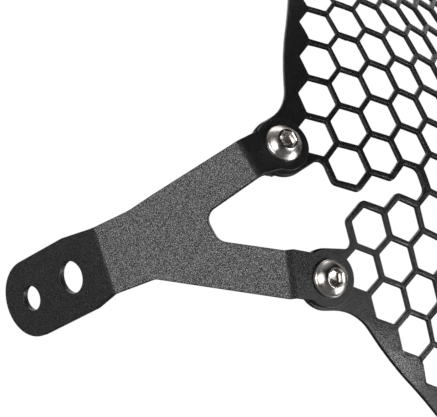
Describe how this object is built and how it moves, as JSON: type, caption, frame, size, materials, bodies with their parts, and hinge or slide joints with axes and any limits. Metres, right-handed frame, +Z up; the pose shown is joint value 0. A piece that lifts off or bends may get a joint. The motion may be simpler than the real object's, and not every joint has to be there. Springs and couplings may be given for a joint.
{
  "type": "headlight guard",
  "caption": "Bent honeycomb sheet with a notch in each side, bolted to a forked sheet bracket on either side that ends in a folded tab with two holes.",
  "frame": {"origin": "midway between the large holes of the two bracket tabs, at the middle of the tabs' thickness", "axes": "+X from the left bracket to the right one, +Y backwards towards the motorcycle, +Z up; the screen faces -Y"},
  "size_m": [0.3296, 0.1166, 0.1609],
  "materials": {
    "black_coat": "fine grained satin black powder coat",
    "stainless": "bright turned stainless steel",
    "nylon": "natural nylon"
  },
  "bodies": {
    "root": {"screen": "black_coat", "bracket_left": "black_coat", "bracket_right": "black_coat", "screw_left_upper": "stainless", "washer_left_upper": "stainless", "lock_nut_left_upper": "stainless", "lock_ring_left_upper": "nylon", "screw_left_lower": "stainless", "washer_left_lower": "stainless", "lock_nut_left_lower": "stainless", "lock_ring_left_lower": "nylon", "screw_right_upper": "stainless", "washer_right_upper": "stainless", "lock_nut_right_upper": "stainless", "lock_ring_right_upper": "nylon", "screw_right_lower": "stainless", "washer_right_lower": "stainless", "lock_nut_right_lower": "stainless", "lock_ring_right_lower": "nylon"}
  },
  "joints": []
}
